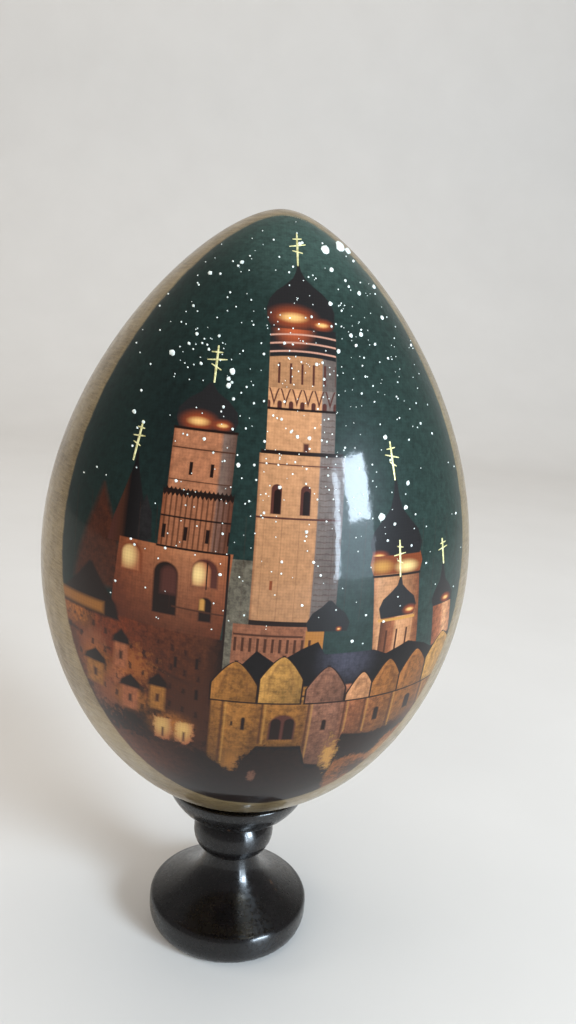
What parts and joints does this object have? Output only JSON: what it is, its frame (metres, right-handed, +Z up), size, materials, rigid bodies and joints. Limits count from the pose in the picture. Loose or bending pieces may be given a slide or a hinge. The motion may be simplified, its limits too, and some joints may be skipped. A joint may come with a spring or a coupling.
{
  "type": "decorated egg on stand",
  "caption": "Turned wooden souvenir egg with a printed snowy night townscape, gold lacquer back and border, loose on a dowel in the shallow cup of a black turned stand.",
  "frame": {"origin": "centre of the stand's flat underside, on the turning axis", "axes": "+Z up along the turning axis of stand and egg, -Y towards the viewer who faces the picture, +X to that viewer's right"},
  "size_m": [0.065, 0.065, 0.116],
  "materials": {
    "black_lacquer": "near-black gloss lacquer on turned wood",
    "bare_wood": "bare turned hardwood",
    "gold_lacquer": "bronze-gold paint on wood under clear gloss lacquer",
    "printed_picture": "colour print of a snowy night townscape under clear gloss lacquer"
  },
  "bodies": {
    "stand": {"stand": "black_lacquer"},
    "dowel": {"dowel": "bare_wood"},
    "egg": {"egg_body": "gold_lacquer", "picture_panel": "printed_picture"}
  },
  "joints": [
    {"name": "egg_turn", "type": "hinge", "parent": "stand", "child": "dowel", "pos_m": [0, 0, 0.0142], "axis": [0, 0, 1], "continuous": true},
    {"name": "egg_lift", "type": "slide", "parent": "dowel", "child": "egg", "axis": [0, 0, 1], "range_m": [0, 0.05]}
  ]
}
